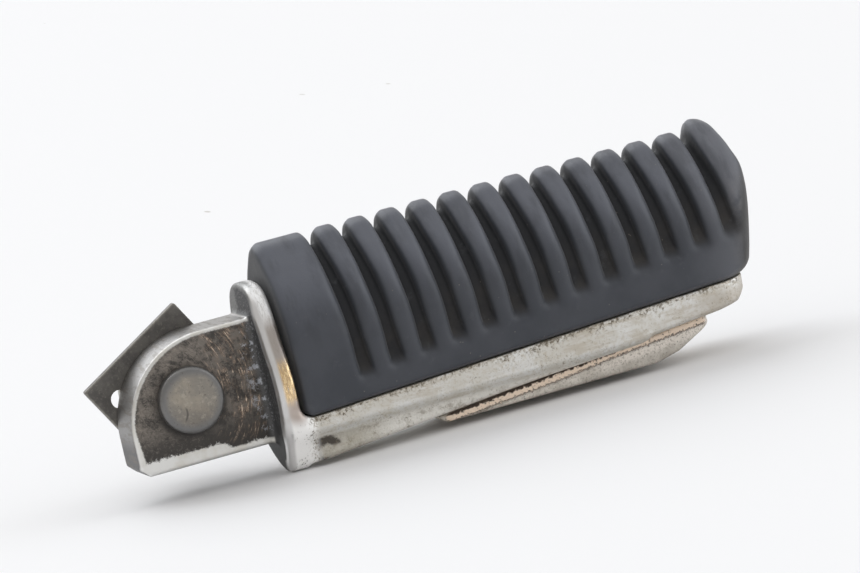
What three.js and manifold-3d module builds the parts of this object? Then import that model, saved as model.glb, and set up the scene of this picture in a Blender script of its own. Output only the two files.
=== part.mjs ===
// Folding motorcycle foot peg: a cast peg body with a hinge tongue and an end flange, a ribbed rubber
// tread held down by two screws, a bar under the peg, the joint pin with its washer and split pin, and
// the detent of the fold: a plate with two holes, a ball and its spring.
//
// Millimetres. The origin is on the joint pin's axis, in the middle of the tongue's thickness.
// +X runs outward along the peg, +Y along the pin away from its head, +Z up through the tread.

import * as THREE from 'three';
import { mergeVertices } from 'three/addons/utils/BufferGeometryUtils.js';
import Module from 'manifold-3d';

const wasm = await Module();
wasm.setup();

// ---- Driving dimensions ---------------------------------------------------------------------------

const GAP = 0.3;                  // free space between two pieces that touch or run on each other
const OVERSHOOT = 5;              // how far a cutting tool reaches past the piece it cuts
const ROUND_SEGMENTS = 28;

const PIN_RADIUS = 4;
const PIN_HEAD_RADIUS = 7;
const PIN_HEAD_HEIGHT = 3;
const PIN_END = 24.5;
const SPLIT_PIN_RADIUS = 1;
const SPLIT_PIN_Y = 22.9;
const WASHER_RADIUS = 8;
const WASHER_THICKNESS = 1.2;
const WASHER_Y = 20.3;

const TONGUE_HALF = 6;            // half of the tongue's thickness
const TONGUE_INNER = -13.5;       // its end face, the stop of the fold
const TONGUE_TOP = 13.3;
const TONGUE_BOTTOM = -13.7;
const TONGUE_ARC = 18.9;          // radius of the corner that clears the bracket as the peg folds
const TONGUE_CHAMFER = 1.8;

const FLANGE_INNER = 16.8;
const FLANGE_OUTER = 20.8;
const FLANGE_TOP = 20;
const FLANGE_BOTTOM = -20.4;
const FLANGE_PAD = 1;             // its extra thickness below FLANGE_PAD_TOP
const FLANGE_PAD_TOP = -10.8;

const TREAD_INNER = 21.9;
const TREAD_OUTER = 130;
const TREAD_CORNER = 9;           // corner radius of its outer end, seen from above
const TREAD_CREST = 27.2;
const TREAD_HALF = 14.6;          // half of the rubber's greatest width
const LIP_START = 120.6;
const LIP_CREST = 28.9;
const TREAD_EDGE_INNER = -9.6;    // height of the rubber's lower edge at its inner end
const TREAD_EDGE_SLOPE = 0.0465;  // the edge rises outward
const EDGE_CORNER = 4;            // corner radius at both ends of the lower edge, seen from the side

const FIRST_GROOVE = 35.7;
const RIB_PITCH = 7.185;
const RIB_COUNT = 12;
const GROOVE_WIDTH = 2;
const GROOVE_DEPTH = 3.2;
const GROOVE_LEAN = 0.08;         // the grooves stand nearly square to the sloping lower edge
const GROOVE_LEAN_FROM = 12;      // height at which a groove is at its nominal place
const GROOVE_END_INNER = -4.3;    // height at which the first groove ends, on the rubber's side
const GROOVE_END_SLOPE = 0.096;   // the ends climb outward

const TRAY_HALF = 12.9;
const TRAY_OUTER = 125.2;
const TRAY_FILLET = 3.6;          // in the corner between rim and flange
const TRAY_FLOOR = -12.8;         // lower edge of the rim under the rubber
const GUSSET_HALF = 11.3;
const UNDERSIDE_INNER = -19.7;    // height of the underside at UNDERSIDE_START
const UNDERSIDE_START = 20;
const UNDERSIDE_SLOPE = 0.09;

const CORE_HALF = 5;              // the upright web inside the rubber
const CORE_OUTER = 112;
const CORE_TOP = 8;
const INSERT_THICKNESS = 2;
const INSERT_HALF = 7.5;
const INSERT_INNER = 30;
const INSERT_OUTER = 110;

const SCREW_PLACES = { inner: 69, outer: 94 };
const SCREW_RADIUS = 3;
const SCREW_HEAD_RADIUS = 5.6;
const SCREW_HEAD_HEIGHT = 2.6;
const NUT_ACROSS_CORNERS = 11.5;
const NUT_HEIGHT = 5;

const BAR_INNER = 51;
const BAR_OUTER = 115;
const BAR_FLOOR = -18.8;
const BAR_HALF = 10;

const PLATE_HALF = 13.4;          // half of the detent plate's long side
const PLATE_LONG = 13.8;          // from the pin to the edge that faces the bracket
const PLATE_SHORT = 9;            // from the pin to the edge that faces the flange
const PLATE_THICKNESS = 1.8;
const PLATE_TURN = THREE.MathUtils.degToRad(30.4);
const DETENT_RADIUS = 11.5;       // from the pin's axis to the ball and to the plate's small hole
const DETENT_HOLE_RADIUS = 1.95;
const PLATE_HOLE_ANGLE = THREE.MathUtils.degToRad(170.5);
const BALL_ANGLE = THREE.MathUtils.degToRad(230);
const BALL_RADIUS = 2.5;
const BALL_BORE_FLOOR = -4;

const INSERT_TOP = CORE_TOP + GAP + INSERT_THICKNESS;
const NUT_BOTTOM = INSERT_TOP + GAP;
const NUT_TOP = NUT_BOTTOM + NUT_HEIGHT;
const SCREW_TIP = NUT_TOP + 0.4;
const RUNNING_RADIUS = PIN_RADIUS + 0.35;
const SCREW_HOLE_RADIUS = SCREW_RADIUS + 0.35;

// ---- Materials ------------------------------------------------------------------------------------

const finish = (color, roughness, metalness) =>
  new THREE.MeshStandardMaterial({ color, roughness, metalness });
const materials = {
  casting: finish(0xb4b2ac, 0.38, 0.9),
  bar: finish(0x9a958b, 0.6, 0.7),
  rubber: finish(0x3a3c40, 0.75, 0),
  pin: finish(0x8d887e, 0.45, 0.85),
  plate: finish(0x4c463d, 0.5, 0.8),
  hardware: finish(0xa3a19a, 0.4, 0.9),
};

// ---- Solids ---------------------------------------------------------------------------------------

function toSolid(geometry) {
  const bare = geometry.index ? geometry.toNonIndexed() : geometry.clone();
  bare.deleteAttribute('normal');
  bare.deleteAttribute('uv');
  const merged = mergeVertices(bare, 1e-4);
  return new wasm.Manifold(new wasm.Mesh({
    numProp: 3,
    vertProperties: new Float32Array(merged.attributes.position.array),
    triVerts: new Uint32Array(merged.index.array),
  }));
}

function toMesh(name, solid, material) {
  const result = solid.getMesh();
  const geometry = new THREE.BufferGeometry();
  geometry.setAttribute('position', new THREE.BufferAttribute(new Float32Array(result.vertProperties), 3));
  geometry.setIndex(new THREE.BufferAttribute(new Uint32Array(result.triVerts), 1));
  geometry.computeVertexNormals();
  const mesh = new THREE.Mesh(geometry, material);
  mesh.name = name;
  return mesh;
}

const joined = (first, ...others) => others.reduce((sum, solid) => sum.add(solid), first);
const cut = (first, ...tools) => tools.reduce((rest, tool) => rest.subtract(tool), first);

const vectors = (points) => points.map(([a, b]) => new THREE.Vector2(a, b));

function prism(points, from, to, basis) {
  const shape = new THREE.Shape(vectors(points));
  const geometry = new THREE.ExtrudeGeometry(shape, { depth: to - from, bevelEnabled: false });
  geometry.translate(0, 0, from);
  geometry.applyMatrix4(basis);
  return toSolid(geometry);
}

const axes = (x, y, z) => new THREE.Matrix4().makeBasis(
  new THREE.Vector3(...x), new THREE.Vector3(...y), new THREE.Vector3(...z));
const ALONG_X = axes([0, 1, 0], [0, 0, 1], [1, 0, 0]);
const ALONG_MINUS_Y = axes([1, 0, 0], [0, 0, 1], [0, -1, 0]);

// Prisms of an outline in (y, z), (x, z) and (x, y).
const prismX = (points, x0, x1) => prism(points, x0, x1, ALONG_X);
const prismY = (points, y0, y1) => prism(points, -y1, -y0, ALONG_MINUS_Y);
const prismZ = (points, z0, z1) => prism(points, z0, z1, new THREE.Matrix4());

function box(x0, x1, y0, y1, z0, z1) {
  const geometry = new THREE.BoxGeometry(x1 - x0, y1 - y0, z1 - z0);
  geometry.translate((x0 + x1) / 2, (y0 + y1) / 2, (z0 + z1) / 2);
  return toSolid(geometry);
}

// A turned solid: profile points are (radius, height) from one end of the axis to the other.
function turned(profile, segments = ROUND_SEGMENTS) {
  const geometry = new THREE.LatheGeometry(vectors(profile), segments);
  return toSolid(geometry);
}

// A lathe turns about +Y, which is also the pin's direction; a screw stands along +Z.
const upright = (solid) => solid.rotate([90, 0, 0]);
const cylinderY = (radius, y0, y1, segments) =>
  turned([[0, y0], [radius, y0], [radius, y1], [0, y1]], segments);
const cylinderZ = (radius, z0, z1, segments) => upright(cylinderY(radius, z0, z1, segments));

const polar = (radius, angle) => [radius * Math.cos(angle), radius * Math.sin(angle)];

function arcPoints(centreX, centreZ, radius, fromAngle, toAngle, steps) {
  return Array.from({ length: steps + 1 }, (_, i) => {
    const angle = fromAngle + (toAngle - fromAngle) * i / steps;
    const [a, b] = polar(radius, angle);
    return [centreX + a, centreZ + b];
  });
}

// A smooth closed outline through points given clockwise.
function smoothOutline(points, steps) {
  const curve = new THREE.SplineCurve(vectors([...points, points[0]]));
  return curve.getPoints(steps).slice(1).map((p) => [p.x, p.y]).reverse();
}

// ---- Peg body -------------------------------------------------------------------------------------

const undersideAt = (x) => UNDERSIDE_INNER + (x - UNDERSIDE_START) * UNDERSIDE_SLOPE;
const treadEdgeAt = (x) => TREAD_EDGE_INNER + (x - TREAD_INNER) * TREAD_EDGE_SLOPE;

function tongue() {
  const arcX = TONGUE_INNER + TONGUE_ARC;
  const arcZ = TONGUE_TOP - TONGUE_ARC;
  const outline = [
    [TONGUE_INNER, TONGUE_BOTTOM + TONGUE_CHAMFER],
    [TONGUE_INNER + TONGUE_CHAMFER, TONGUE_BOTTOM],
    [FLANGE_INNER + 1, TONGUE_BOTTOM],
    [FLANGE_INNER + 1, TONGUE_TOP],
    ...arcPoints(arcX, arcZ, TONGUE_ARC, Math.PI / 2, Math.PI, 10),
  ];
  return prismY(outline, -TONGUE_HALF, TONGUE_HALF);
}

// The flange is fuller at the bottom on the side of the pin's head, and thicker below the rim.
function flange() {
  const outline = smoothOutline([
    [0, FLANGE_TOP], [4.5, 19.4], [7.8, 17], [10.2, 12], [12, 6.5], [13.7, 2], [14.2, -3],
    [12.9, -7.5], [9.2, -12], [4.2, -15.6], [0.6, -18], [-3.4, -19.8], [-6.8, FLANGE_BOTTOM],
    [-9.8, -19.6], [-11.6, -17.2], [-13, -13], [-13.8, -8.2], [-14.4, -3],
    [-13.7, 2], [-12, 6.5], [-10.2, 12], [-7.8, 17], [-4.5, 19.4],
  ], 44);
  const thicker = prismX(outline, FLANGE_INNER, FLANGE_OUTER + FLANGE_PAD);
  const below = box(FLANGE_INNER, TREAD_INNER, -TREAD_HALF, TREAD_HALF, FLANGE_BOTTOM - 1, FLANGE_PAD_TOP);
  return joined(prismX(outline, FLANGE_INNER, FLANGE_OUTER), thicker.intersect(below));
}

// The rim that carries the rubber: a slanting bar with a rounded outer end.
function tray() {
  const top = (x) => treadEdgeAt(x) - GAP;
  const filletX = FLANGE_OUTER + TRAY_FILLET;
  const fillet = arcPoints(filletX, top(filletX) + TRAY_FILLET, TRAY_FILLET, -Math.PI / 2, -Math.PI, 4);
  const meetX = UNDERSIDE_START + (TRAY_FLOOR - UNDERSIDE_INNER) / UNDERSIDE_SLOPE;
  const side = prismY([
    [FLANGE_OUTER - 1, TRAY_FLOOR], [meetX, TRAY_FLOOR], [TRAY_OUTER - 4, undersideAt(TRAY_OUTER - 4)],
    [TRAY_OUTER - 1, undersideAt(TRAY_OUTER) + 1.4], [TRAY_OUTER, top(TRAY_OUTER)],
    ...fillet, [FLANGE_OUTER - 1, top(FLANGE_OUTER) + TRAY_FILLET],
  ], -TRAY_HALF, TRAY_HALF);
  return side.intersect(planOutline(TRAY_HALF, TRAY_OUTER, 8));
}

// Everything inside a bar of the given half width whose outer end has rounded corners, seen from above.
function planOutline(half, outer, cornerRadius) {
  const centreX = outer - cornerRadius;
  const corner = arcPoints(centreX, half - cornerRadius, cornerRadius, 0, Math.PI / 2, 6);
  const farSide = [...corner, [0, half]];
  const nearSide = farSide.map(([x, y]) => [x, -y]).reverse();
  return prismZ([...nearSide, ...farSide], FLANGE_BOTTOM - OVERSHOOT, LIP_CREST + OVERSHOOT);
}

// The narrower wedge under the rim, deepest at the flange.
function gusset() {
  const meetX = UNDERSIDE_START + (TRAY_FLOOR - UNDERSIDE_INNER) / UNDERSIDE_SLOPE;
  return prismY([
    [FLANGE_OUTER - 1, undersideAt(FLANGE_OUTER - 1)], [meetX, TRAY_FLOOR],
    [meetX, TRAY_FLOOR + 1], [FLANGE_OUTER - 1, TRAY_FLOOR + 1],
  ], -GUSSET_HALF, GUSSET_HALF);
}

function pegBody() {
  const core = box(FLANGE_OUTER - 1, CORE_OUTER, -CORE_HALF, CORE_HALF, TRAY_FLOOR + 2, CORE_TOP);
  const [ballX, ballZ] = polar(DETENT_RADIUS, BALL_ANGLE);
  const ballBore = cylinderY(BALL_RADIUS + 0.35, BALL_BORE_FLOOR, TONGUE_HALF + OVERSHOOT)
    .translate([ballX, 0, ballZ]);
  const pinBore = cylinderY(RUNNING_RADIUS, -TONGUE_HALF - OVERSHOOT, TONGUE_HALF + OVERSHOOT);
  const screwHoles = Object.values(SCREW_PLACES).map((x) =>
    cylinderZ(SCREW_HOLE_RADIUS, BAR_FLOOR - OVERSHOOT, CORE_TOP + OVERSHOOT).translate([x, 0, 0]));
  const casting = joined(tongue(), flange(), tray(), gusset(), core);
  return toMesh('peg_body', cut(casting, pinBore, ballBore, ...screwHoles), materials.casting);
}

// ---- Rubber tread ---------------------------------------------------------------------------------

// Half of the tread's cross-section, crest to lower edge, for a crest at the given height; inset moves
// it inward by that much all round.
function archHalf(crest, inset = 0) {
  const lift = crest - TREAD_CREST;
  const points = [
    [0, TREAD_CREST], [2.9, 26.1], [5.4, 23.9], [7.9, 21.4], [10.7, 17.9], [13, 13.6], [14.3, 9.2],
    [TREAD_HALF, 5], [14.4, 0], [13.9, -5], [13.3, -10],
  ];
  return points.map(([y, z]) => {
    const raised = z + lift * Math.max(0, z) / TREAD_CREST;
    return [y * (1 - inset / TREAD_HALF), raised - inset];
  });
}

function archOutline(crest) {
  const right = archHalf(crest);
  const left = right.slice(1).map(([y, z]) => [-y, z]);
  return [...left.reverse(), ...right];
}

// The side view that trims the tread: slanting lower edge, crest and the sloping outer end.
function treadProfile() {
  const innerX = TREAD_INNER + EDGE_CORNER;
  const outerX = TREAD_OUTER - 2.6 - EDGE_CORNER;
  return prismY([
    ...arcPoints(innerX, treadEdgeAt(innerX) + EDGE_CORNER, EDGE_CORNER, Math.PI, 1.5 * Math.PI, 4),
    ...arcPoints(outerX, treadEdgeAt(outerX) + EDGE_CORNER, EDGE_CORNER, -Math.PI / 2, -0.12, 4),
    [TREAD_OUTER - 1.9, 0.4],
    [TREAD_OUTER - 0.9, 5],
    [TREAD_OUTER, 14],
    [TREAD_OUTER - 0.2, 20],
    [TREAD_OUTER - 1.2, 25.8],
    [TREAD_OUTER - 2.8, 28],
    [TREAD_OUTER - 4.8, LIP_CREST + 0.1],
    [LIP_START - 5, LIP_CREST + OVERSHOOT],
    [TREAD_INNER, LIP_CREST + OVERSHOOT],
  ], -TREAD_HALF - OVERSHOOT, TREAD_HALF + OVERSHOOT);
}

// One groove: a leaning slot round the top and both sides of the tread, ending above the lower edge.
function groove(x) {
  const endZ = GROOVE_END_INNER + (x - FIRST_GROOVE) * GROOVE_END_SLOPE;
  const floor = archHalf(TREAD_CREST, GROOVE_DEPTH).filter(([, z]) => z > endZ + 1);
  const lowest = floor[floor.length - 1];
  const right = [...floor, [lowest[0], endZ + 1], [TREAD_HALF + OVERSHOOT, endZ - 1]];
  const left = right.slice(1).map(([y, z]) => [-y, z]).reverse();
  const overWidth = TREAD_HALF + OVERSHOOT;
  const overHeight = LIP_CREST + OVERSHOOT;
  const outline = [...left, ...right, [overWidth, overHeight], [-overWidth, overHeight]];
  const lean = new THREE.Matrix4()
    .makeShear(0, 0, 0, 0, -GROOVE_LEAN, 0)
    .setPosition(GROOVE_LEAN * GROOVE_LEAN_FROM, 0, 0);
  return prismX(outline, x - GROOVE_WIDTH / 2, x + GROOVE_WIDTH / 2).transform(lean.elements);
}

// The space inside the rubber for the web, the steel insert and its nuts.
function treadHollow() {
  const web = box(TREAD_INNER - OVERSHOOT, CORE_OUTER + GAP, -CORE_HALF - GAP, CORE_HALF + GAP,
    TRAY_FLOOR - OVERSHOOT, CORE_TOP + GAP);
  const strip = box(INSERT_INNER - GAP, INSERT_OUTER + GAP, -INSERT_HALF - GAP, INSERT_HALF + GAP,
    CORE_TOP, INSERT_TOP + GAP);
  const nutSpaces = Object.values(SCREW_PLACES).map((x) =>
    cylinderZ(NUT_ACROSS_CORNERS / 2 + GAP, CORE_TOP + 1, SCREW_TIP + GAP).translate([x, 0, 0]));
  return joined(web, strip, ...nutSpaces);
}

function treadRubber() {
  const ribbedPart = prismX(archOutline(TREAD_CREST), TREAD_INNER, LIP_START);
  const lipPart = prismX(archOutline(LIP_CREST), LIP_START - 0.01, TREAD_OUTER);
  const block = joined(ribbedPart, lipPart)
    .intersect(treadProfile())
    .intersect(planOutline(TREAD_HALF, TREAD_OUTER, TREAD_CORNER));
  const grooves = Array.from({ length: RIB_COUNT + 1 }, (_, i) => groove(FIRST_GROOVE + i * RIB_PITCH));
  return toMesh('tread_rubber', cut(block, ...grooves, treadHollow()), materials.rubber);
}

function insertPlate() {
  const strip = box(INSERT_INNER, INSERT_OUTER, -INSERT_HALF, INSERT_HALF, CORE_TOP + GAP, INSERT_TOP);
  const holes = Object.values(SCREW_PLACES).map((x) =>
    cylinderZ(SCREW_HOLE_RADIUS, CORE_TOP - 1, INSERT_TOP + 1).translate([x, 0, 0]));
  return toMesh('tread_insert_plate', cut(strip, ...holes), materials.hardware);
}

function weldNut(name, x) {
  const hexagon = cylinderZ(NUT_ACROSS_CORNERS / 2, NUT_BOTTOM, NUT_TOP, 6);
  const nut = hexagon.subtract(cylinderZ(SCREW_HOLE_RADIUS, NUT_BOTTOM - 1, NUT_TOP + 1));
  return toMesh(name, nut.translate([x, 0, 0]), materials.hardware);
}

// A countersunk screw, head down, its face just inside the bar's underside, with a six-sided socket.
function treadScrew(name, x) {
  const face = BAR_FLOOR + 0.1;
  const body = upright(turned([
    [0, face], [SCREW_HEAD_RADIUS, face], [SCREW_HEAD_RADIUS, face + 0.3],
    [SCREW_RADIUS, face + SCREW_HEAD_HEIGHT], [SCREW_RADIUS, SCREW_TIP - 0.6],
    [SCREW_RADIUS - 0.6, SCREW_TIP], [0, SCREW_TIP],
  ]));
  const socket = cylinderZ(2.3, face - 1, face + 1.6, 6);
  return toMesh(name, body.subtract(socket).translate([x, 0, 0]), materials.hardware);
}

// ---- Bar under the peg ----------------------------------------------------------------------------

function undersideBar() {
  const top = (x) => undersideAt(x) - GAP;
  const side = prismY([
    [BAR_INNER, top(BAR_INNER) - 0.7], [BAR_INNER + 1.6, BAR_FLOOR], [BAR_OUTER - 14, BAR_FLOOR],
    [BAR_OUTER - 8.5, BAR_FLOOR + 1.3], [BAR_OUTER, top(BAR_OUTER) - 1.8],
    [BAR_OUTER - 0.6, top(BAR_OUTER - 0.6)], [BAR_INNER, top(BAR_INNER)],
  ], -BAR_HALF, BAR_HALF);
  const countersinks = Object.values(SCREW_PLACES).map((x) => {
    const face = BAR_FLOOR + 0.1;
    const wide = SCREW_HEAD_RADIUS + 0.35;
    return upright(turned([
      [0, face - OVERSHOOT], [wide, face - OVERSHOOT], [wide, face + 0.45],
      [SCREW_HOLE_RADIUS, face + SCREW_HEAD_HEIGHT + 0.15], [SCREW_HOLE_RADIUS, TRAY_FLOOR + OVERSHOOT],
      [0, TRAY_FLOOR + OVERSHOOT],
    ])).translate([x, 0, 0]);
  });
  const ends = planOutline(BAR_HALF, BAR_OUTER, 3).intersect(
    planOutline(BAR_HALF, BAR_OUTER, 3).mirror([1, 0, 0]).translate([BAR_INNER + BAR_OUTER, 0, 0]));
  return toMesh('underside_bar', cut(side.intersect(ends), ...countersinks), materials.bar);
}

// ---- Joint pin and its retainers ------------------------------------------------------------------

function pivotPin() {
  const seat = -TONGUE_HALF - GAP;
  const crown = seat - PIN_HEAD_HEIGHT;
  const body = turned([
    [0, crown], [4.9, crown + 0.15], [6.2, crown + 0.6], [PIN_HEAD_RADIUS, crown + 1.6],
    [PIN_HEAD_RADIUS, seat], [PIN_RADIUS, seat], [PIN_RADIUS, PIN_END - 1],
    [PIN_RADIUS - 1, PIN_END], [0, PIN_END],
  ]);
  const crossHole = cylinderZ(SPLIT_PIN_RADIUS + 0.35, -PIN_RADIUS - 1, PIN_RADIUS + 1, 16);
  return toMesh('pivot_pin', body.subtract(crossHole.translate([0, SPLIT_PIN_Y, 0])), materials.pin);
}

function pinWasher() {
  const disc = cylinderY(WASHER_RADIUS, WASHER_Y, WASHER_Y + WASHER_THICKNESS);
  const bore = cylinderY(RUNNING_RADIUS, WASHER_Y - 1, WASHER_Y + WASHER_THICKNESS + 1);
  return toMesh('pin_washer', disc.subtract(bore), materials.hardware);
}

// Round wire of the given radius along a smooth curve through the points.
function wire(points, radius, steps, sides) {
  const path = new THREE.CatmullRomCurve3(points.map((p) => new THREE.Vector3(...p)));
  const section = new THREE.Shape(vectors(arcPoints(0, 0, radius, 0, 2 * Math.PI, sides).slice(0, -1)));
  return toSolid(new THREE.ExtrudeGeometry(section, { steps, bevelEnabled: false, extrudePath: path }));
}

// The split pin: an eye above the joint pin, a straight stem through it, and two legs bent apart below.
function splitPin() {
  const eyeRadius = 2.1;
  const stemTop = PIN_RADIUS + 1.2;
  const stemEnd = -PIN_RADIUS - 0.6;
  const stem = cylinderZ(SPLIT_PIN_RADIUS, stemEnd, stemTop, 12);
  const eye = new THREE.TorusGeometry(eyeRadius, 0.7, 6, 16);
  eye.rotateX(Math.PI / 2);
  const ring = toSolid(eye).translate([0, 0, stemTop + eyeRadius - 0.3]);
  const legs = [-1, 1].map((side) => wire([
    [0.35 * side, 0, stemEnd + 1.5], [0.5 * side, 0, stemEnd], [1.9 * side, 0, stemEnd - 1.6],
    [4.6 * side, 0, stemEnd - 2.1],
  ], 0.6, 10, 8));
  const whole = joined(stem, ring, ...legs).translate([0, SPLIT_PIN_Y, 0]);
  return toMesh('split_pin', whole, materials.hardware);
}

// ---- Detent ---------------------------------------------------------------------------------------

function detentPlate() {
  const y0 = TONGUE_HALF + GAP;
  const y1 = y0 + PLATE_THICKNESS;
  const along = new THREE.Vector2(Math.cos(PLATE_TURN), Math.sin(PLATE_TURN));
  const across = new THREE.Vector2(Math.sin(PLATE_TURN), -Math.cos(PLATE_TURN));
  const cornerPlaces = [[-1, -PLATE_LONG], [1, -PLATE_LONG], [1, PLATE_SHORT], [-1, PLATE_SHORT]];
  const corners = cornerPlaces.map(([side, v]) => {
    const point = along.clone().multiplyScalar(side * PLATE_HALF).addScaledVector(across, v);
    return [point.x, point.y];
  });
  const blank = prismY(corners.reverse(), y0, y1);
  const pinHole = cylinderY(RUNNING_RADIUS, y0 - 1, y1 + 1);
  const [x, z] = polar(DETENT_RADIUS, PLATE_HOLE_ANGLE);
  const ballHole = cylinderY(DETENT_HOLE_RADIUS, y0 - 1, y1 + 1, 20).translate([x, 0, z]);
  return toMesh('detent_plate', cut(blank, pinHole, ballHole), materials.plate);
}

function detentBall() {
  const [x, z] = polar(DETENT_RADIUS, BALL_ANGLE);
  const ball = toSolid(new THREE.IcosahedronGeometry(BALL_RADIUS, 3));
  const mesh = toMesh('detent_ball', ball, materials.hardware);
  mesh.position.set(x, TONGUE_HALF - BALL_RADIUS, z);
  return mesh;
}

function detentSpring() {
  const [x, z] = polar(DETENT_RADIUS, BALL_ANGLE);
  const wireRadius = 0.3;
  const coilRadius = 1.9;
  const turns = 4;
  const first = BALL_BORE_FLOOR + GAP + wireRadius;
  const last = TONGUE_HALF - 2 * BALL_RADIUS - GAP - wireRadius;
  const points = Array.from({ length: turns * 8 + 1 }, (_, i) => {
    const [a, b] = polar(coilRadius, i * Math.PI / 4);
    return [a, first + (last - first) * i / (turns * 8), b];
  });
  const mesh = toMesh('detent_spring', wire(points, wireRadius, turns * 14, 6), materials.hardware);
  mesh.position.set(x, 0, z);
  return mesh;
}

// ---- Assembly -------------------------------------------------------------------------------------

const peg = new THREE.Group();
peg.name = 'foot_peg';
peg.add(
  pegBody(),
  treadRubber(),
  insertPlate(),
  undersideBar(),
  pivotPin(),
  pinWasher(),
  splitPin(),
  detentPlate(),
  detentBall(),
  detentSpring(),
);
for (const [place, x] of Object.entries(SCREW_PLACES)) {
  peg.add(weldNut(`weld_nut_${place}`, x), treadScrew(`tread_screw_${place}`, x));
}

export default peg;
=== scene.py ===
"""Looks of a folding motorcycle foot peg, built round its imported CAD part.

Every piece is the zero surface of a signed distance field, written in millimetres in the part's own
frame: +X outward along the peg, +Y along the joint pin, +Z up through the tread. Fields are negative
inside, so cast fillets and moulded edges come from joining and meeting them with a radius.
"""

import math
from itertools import product

import bpy
import numpy as np
from mathutils import Matrix, Vector


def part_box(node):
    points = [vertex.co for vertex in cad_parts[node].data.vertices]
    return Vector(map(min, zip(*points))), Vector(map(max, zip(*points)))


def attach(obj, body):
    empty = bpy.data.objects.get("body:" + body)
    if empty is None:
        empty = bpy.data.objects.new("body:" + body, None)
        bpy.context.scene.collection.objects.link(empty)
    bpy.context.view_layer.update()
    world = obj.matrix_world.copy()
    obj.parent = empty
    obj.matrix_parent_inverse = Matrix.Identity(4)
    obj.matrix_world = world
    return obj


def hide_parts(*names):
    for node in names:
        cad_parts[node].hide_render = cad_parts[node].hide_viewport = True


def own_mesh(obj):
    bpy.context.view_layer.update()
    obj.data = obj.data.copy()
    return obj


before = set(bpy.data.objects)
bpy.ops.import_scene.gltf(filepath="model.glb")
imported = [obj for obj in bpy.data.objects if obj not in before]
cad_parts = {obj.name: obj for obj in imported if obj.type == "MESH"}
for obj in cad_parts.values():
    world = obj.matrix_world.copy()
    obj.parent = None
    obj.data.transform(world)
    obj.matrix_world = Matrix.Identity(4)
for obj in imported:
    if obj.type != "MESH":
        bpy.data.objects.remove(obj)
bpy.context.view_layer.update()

MM = 0.001
GAP = 0.3  # free space between two pieces that touch
PLAY = 0.35  # extra radius of a bore over what fits in it
OVERLAP = 2.0  # how far cast shapes run into each other before they are joined

# ---- Sizes, in millimetres ----

PIN_RADIUS = 4.0
PIN_HEAD_RADIUS = 7.0
PIN_HEAD_HEIGHT = 3.0
PIN_HEAD_CROWN = 0.25
PIN_END = 24.5
RUNNING_RADIUS = PIN_RADIUS + PLAY
SPLIT_PIN_RADIUS = 1.0
SPLIT_PIN_Y = 22.9
WASHER_RADIUS = 8.0
WASHER_THICKNESS = 1.2
WASHER_Y = 20.3

TONGUE_HALF = 6.0
TONGUE_INNER = -13.5
TONGUE_TOP = 13.3
TONGUE_BOTTOM = -13.7
TONGUE_ARC = 18.9  # radius of its upper inner corner
TONGUE_CHAMFER = 1.8

FLANGE_INNER = 16.8
FLANGE_OUTER = 20.8
FLANGE_PAD = 1.0  # its extra thickness below the rim
FLANGE_POINTS = [
    (0, 20), (4.5, 19.4), (7.8, 17), (10.2, 12), (12, 6.5), (13.7, 2), (14.2, -3),
    (12.9, -7.5), (9.2, -12), (4.2, -15.6), (0.6, -18), (-3.4, -19.8), (-6.8, -20.4),
    (-9.8, -19.6), (-11.6, -17.2), (-13, -13), (-13.8, -8.2), (-14.4, -3),
    (-13.7, 2), (-12, 6.5), (-10.2, 12), (-7.8, 17), (-4.5, 19.4),
]

TREAD_INNER = 21.9
TREAD_OUTER = 130.0
TREAD_CORNER = 9.0  # corner radius of its outer end, seen from above
TREAD_CREST = 27.2
TREAD_HALF = 14.6
TREAD_EDGE_INNER = -9.6
LIP_START = 120.6
LIP_CREST = 28.9
TREAD_HALF_SECTION = [
    (0, 27.2), (2.9, 26.1), (5.4, 23.9), (7.9, 21.4), (10.7, 17.9), (13, 13.6), (14.3, 9.2),
    (14.6, 5), (14.4, 0), (13.9, -5), (13.3, -10),
]

FIRST_GROOVE = 35.7
RIB_PITCH = 7.185
RIB_COUNT = 12
GROOVE_WIDTH = 1.7
GROOVE_DEPTH = 3.2
GROOVE_LEAN = 0.08  # the grooves stand nearly square to the sloping lower edge
GROOVE_LEAN_FROM = 12.0
GROOVE_END_INNER = -4.3
GROOVE_END_SLOPE = 0.096

TRAY_HALF = 12.9
TRAY_OUTER = 125.2
TRAY_FLOOR = -12.8
GUSSET_HALF = 11.3
GUSSET_OUTER = 98.0
CORE_HALF = 5.0  # the casting's web inside the rubber
CORE_OUTER = 112.0
CORE_TOP = 8.0
INSERT_THICKNESS = 2.0
INSERT_HALF = 7.5
INSERT_INNER = 30.0
INSERT_OUTER = 110.0
INSERT_TOP = CORE_TOP + GAP + INSERT_THICKNESS

SCREW_PLACES = {"inner": 69.0, "outer": 94.0}
SCREW_RADIUS = 3.0
SCREW_HOLE_RADIUS = SCREW_RADIUS + PLAY
SCREW_HEAD_RADIUS = 5.6
SCREW_HEAD_HEIGHT = 2.6
SCREW_SOCKET_ACROSS = 4.0
SCREW_SOCKET_DEPTH = 1.6
THREAD_DEPTH = 0.12
NUT_ACROSS_CORNERS = 11.5
NUT_BOTTOM = INSERT_TOP + GAP
NUT_TOP = NUT_BOTTOM + 5
SCREW_TIP = NUT_TOP + 0.4

BAR_INNER = 51.0
BAR_OUTER = 115.0
BAR_FLOOR = -18.8
BAR_HALF = 10.0
SCREW_FACE = BAR_FLOOR + 0.1

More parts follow.
